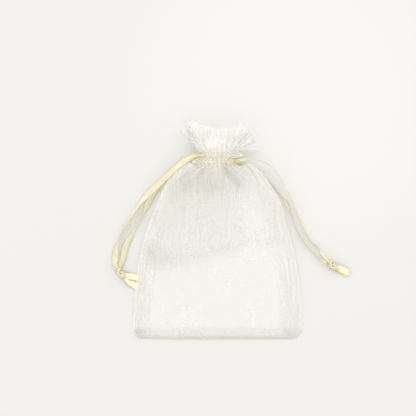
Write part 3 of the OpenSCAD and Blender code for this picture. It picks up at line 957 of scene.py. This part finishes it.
def front_shade(points, c):
    """Painted shade on the front: above the step, in the hollows under the neck, in dents at the left edge,
    along the bottom fold and in its corner tucks, and on the ruffle's lobes and pleat edges."""
    x, v = points[..., 0], points[..., 1] - BOTTOM_Y
    up = v - step_line(x)
    above = smooth((up + 2) / 6) * (1 - smooth((v - BODY_H + 12) / 12)) * (1 - 0.6 * smooth((x - 4) / 14))
    shade = above * (0.46 + 0.18 * np.exp(-((up - 4) / 4) ** 2) + 0.14 * smooth((v - 62) / 22))
    shade = shade * (1 - 0.6 * smooth((np.abs(c) - 0.78) / 0.15)) + marks(x, v, *PAINTED_SHADE_PLACES)
    # Painted shadow along the bottom fold, darkest at its edge.
    shade = shade + 0.5 * (1 - smooth((v - 5) / 3)) + 0.7 * (1 - smooth((v - 0.8) / 1.8))
    ruffle = smooth((v - RUFFLE_V) / 2)
    # Painted shade on the ruffle's lobes and along its pleats' folded edges.
    lobes = 0.08 * np.exp(-((c + 0.72) / 0.25) ** 2) + 0.25 * np.exp(-((c - 0.5) / 0.2) ** 2)
    for at, depth in PLEAT_EDGE_SHADE:
        lobes = lobes + depth * np.exp(-((c - at) / 0.028) ** 2)
    return np.clip(shade * (1 - ruffle) + lobes * ruffle, 0, 1)


def hem_grid(front):
    """The turned-in hem: the ruffle's lining and, below it, the channel's inner layer."""
    pleats, depth = 18, 1.35
    c_line = np.linspace(-1, 1, COLS * 3 // 4 + 1)
    c, s = np.meshgrid(c_line, np.linspace(1, 0, RUFFLE_ROWS))
    outer = ruffle_points(c, s, front)
    normal = unit(np.cross(np.gradient(outer, axis=1), np.gradient(outer, axis=0)))
    normal = normal * np.where(normal[..., 2:] < 0, -1, 1) * (-1 if front else 1)
    lining = outer + normal * 0.35 * (1 - s[..., None] ** 10)
    v_line = np.linspace(RUFFLE_V, BODY_H - 1, 14)
    c, v = np.meshgrid(c_line, v_line)
    u = np.sin(np.pi / 2 * c)
    x = u * (half_w(v) - 1.2)
    rim = np.clip(1 - np.abs(u) ** 3, 0, 1) ** (1 / 3)
    z = SEAM_TOP + (1 if front else -1) * 3.1 * rim
    if front:
        x, z = lift_along_normal(x, z, depth * np.cos(np.pi * pleats * c + 1) - 1.5)
    else:
        z = z + (depth * np.cos(np.pi * pleats * c) + 1.5) * rim
    facing = np.stack([x, y_at(v), z], axis=-1)
    join = smooth(np.linspace(1, 0, RUFFLE_ROWS) / 0.4)[:, None, None]
    lining = lining * join + (facing[:1] + (lining - lining[-1:])) * (1 - join)
    lining[..., 2] = np.maximum(lining[..., 2], LIE + 0.1)
    lengths = np.hstack([np.linspace(CLOTH_RUFFLE, 0, RUFFLE_ROWS), RUFFLE_V - 1 - v_line[1:]])
    return np.concatenate([lining, facing[1:]]), c_line, lengths


def allowance_object(name, side, widths, material):
    """The turned-in edges of both panels beside one seam: two plies with frayed inner edges."""
    rows, cols = 90, 15
    v_line = np.linspace(1.2, 97, rows)
    parts, uvs, faces, plies = [], [], [], []
    for ply, width in enumerate(widths):
        t_line = np.linspace(0, 1, cols)
        t, v = np.meshgrid(t_line, v_line)
        narrow = half_w(v) / HALF_W
        fray = 1 + 0.06 * np.sin(v * 0.9 + 2 * ply + side) + 0.05 * np.sin(v * 2.3 + ply)
        x = 0.985 * half_w(v) - t * width * fray * (0.35 + 0.65 * narrow) + np.abs(side_bulge(side, v))
        lift = (0.10 if ply else -0.08) + 0.14 * t * np.sin(v / 6.3 + 2 * ply + side)
        ripple = 0.10 * np.sin(2 * np.pi * t * 4.5 + 0.4 * np.sin(v / 5)) * t
        z = seam_z(v) + (lift + ripple) * smooth(v / 8)
        y = y_at(v) + shoulder_rise(side, v)
        points = np.stack([side * x, y, np.maximum(z, LIE + 0.1)], axis=-1)
        faces += grid_faces(rows, cols, start=sum(len(p) for p in parts))
        parts.append(points.reshape(-1, 3))
        uvs.append(np.stack([t * width, v], axis=-1).reshape(-1, 2))
        plies.append(sheet_plies(points, 0).ravel())
    return mesh_object(name, np.vstack(parts), faces, np.vstack(uvs), material, plies=np.hstack(plies))


def stitch_tubes(paths, radius):
    """Short round-ended tubes along the given paths, as points, faces and UVs."""
    sides = 6
    points, faces, uvs = [], [], []
    ring_angle = 2 * np.pi * np.arange(sides) / sides
    for path in paths:
        t = headings(path)
        ref = np.where(np.abs(t[:, 2:]) > 0.9, (1.0, 0, 0), (0, 0, 1.0))
        a = unit(np.cross(t, ref))
        b = np.cross(t, a)
        taper = np.sin(np.pi * np.linspace(0.12, 0.88, len(path))) ** 0.4
        round_it = np.cos(ring_angle)[:, None] * a[:, None] + np.sin(ring_angle)[:, None] * b[:, None]
        rings = path[:, None] + radius * taper[:, None, None] * round_it
        start = sum(len(p) for p in points)
        faces += grid_faces(len(path), sides, closed=True, start=start)
        faces += [tuple(start + k for k in range(sides)),
                  tuple(start + (len(path) - 1) * sides + k for k in range(sides))]
        points.append(rings.reshape(-1, 3))
        uvs.append(sweep_uv(ring_angle * radius, distances(path)))
    return np.vstack(points), faces, np.vstack(uvs)


def channel_stitches(v):
    """Paths of one row of stitches round the channel: over the front pleats and under the back."""
    paths = []
    fine = np.linspace(-0.97, 0.97, 1600)[None, :]
    for sheet, out in ((front_sheet, 1), (back_sheet, -1)):
        x, z = sheet(fine, np.full_like(fine, v))
        x, z = lift_along_normal(x, z, 0.1 * out)
        line = np.stack([x[0], np.full(x.shape[1], y_at(v)), np.maximum(z[0], 0.1)], axis=1)
        stitches, length = 36, 27
        for k in range(stitches):
            start = int((k + 0.2) * len(line) / stitches)
            paths.append(line[start:start + length:3])
    return paths


def seam_stitches(side):
    """Paths of the running stitches down one side seam."""
    pitch, length = 2.6, 1.8
    paths = []
    for start in np.arange(4, 96, pitch):
        v = np.linspace(start, start + length, 5)[:, None]
        c = np.full_like(v, side * 0.965)
        x, z = front_base(c, v)
        y = y_at(v) + shoulder_rise(c, v)
        paths.append(np.stack([x[:, 0], y[:, 0], z[:, 0] + 0.12], axis=1))
    return paths


CHANNEL_THREAD_R = 0.11
SEAM_THREAD_R = 0.09


def thread_object(name, node, paths, radius, material):
    """One row of stitches, as the stand-in for its CAD node."""
    obj = mesh_object(name, *stitch_tubes(paths, radius), material)
    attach(obj, "pouch")
    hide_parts(node)
    return obj


def make_cloth():
    """The two outer sheets, their hems, the seams' edges and all stitches."""
    # The colour of the painted shade in folds, hollows and stacked cloth.
    painted_shade_colour = (0.60, 0.575, 0.495)
    organza = organza_material("organza", 0.21, (0.935, 0.93, 0.908), (0.96, 0.957, 0.94), painted_shade_colour)
    doubled = organza_material("organza_hem", 0.09, (0.96, 0.955, 0.925), (0.99, 0.985, 0.96), painted_shade_colour)
    edging = organza_material("organza_edge", 0.26, (0.70, 0.68, 0.63), (0.90, 0.895, 0.87), painted_shade_colour)
    thread = thread_material()
    rows = [
        thread_object(f"{row}_channel_thread", f"{row}_channel_stitching", channel_stitches(v),
                      CHANNEL_THREAD_R, thread)
        for row, v in (("lower", BODY_H + 0.6), ("upper", RUFFLE_V - 0.6))
    ]
    seams = []
    for name, side, widths in (("left", -1, (8.5, 5.0)), ("right", 1, (11.0, 7.0))):
        edge = allowance_object(name + "_seam_edges", side, widths, edging)
        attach(edge, "pouch")
        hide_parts(name + "_seam_allowance")
        sewn = thread_object(name + "_seam_thread", name + "_seam_stitching", seam_stitches(side),
                             SEAM_THREAD_R, thread)
        seams += [edge, sewn]
    for which in ("front", "back"):
        front = which == "front"
        sheet = cloth_object(which + "_cloth", *sheet_grid(front), organza, shaded=front)
        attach(sheet, "pouch")
        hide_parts(which + "_panel", which + "_casing", which + "_ruffle")
        hem = cloth_object(which + "_hem", *hem_grid(front), doubled)
        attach(hem, "pouch")
        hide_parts(which + "_facing", which + "_ruffle_lining")


# ---- The scene ------------------------------------------------------------------

make_camera()
satins = satin_material("satin_sheer", True), satin_material("satin", False)
make_drawstring("left", -1, LEFT_ROUTES, LEFT_KNOT_TURN, *satins)
make_drawstring("right", 1, RIGHT_ROUTES, RIGHT_KNOT_TURN, *satins)
make_cloth()
make_stage()
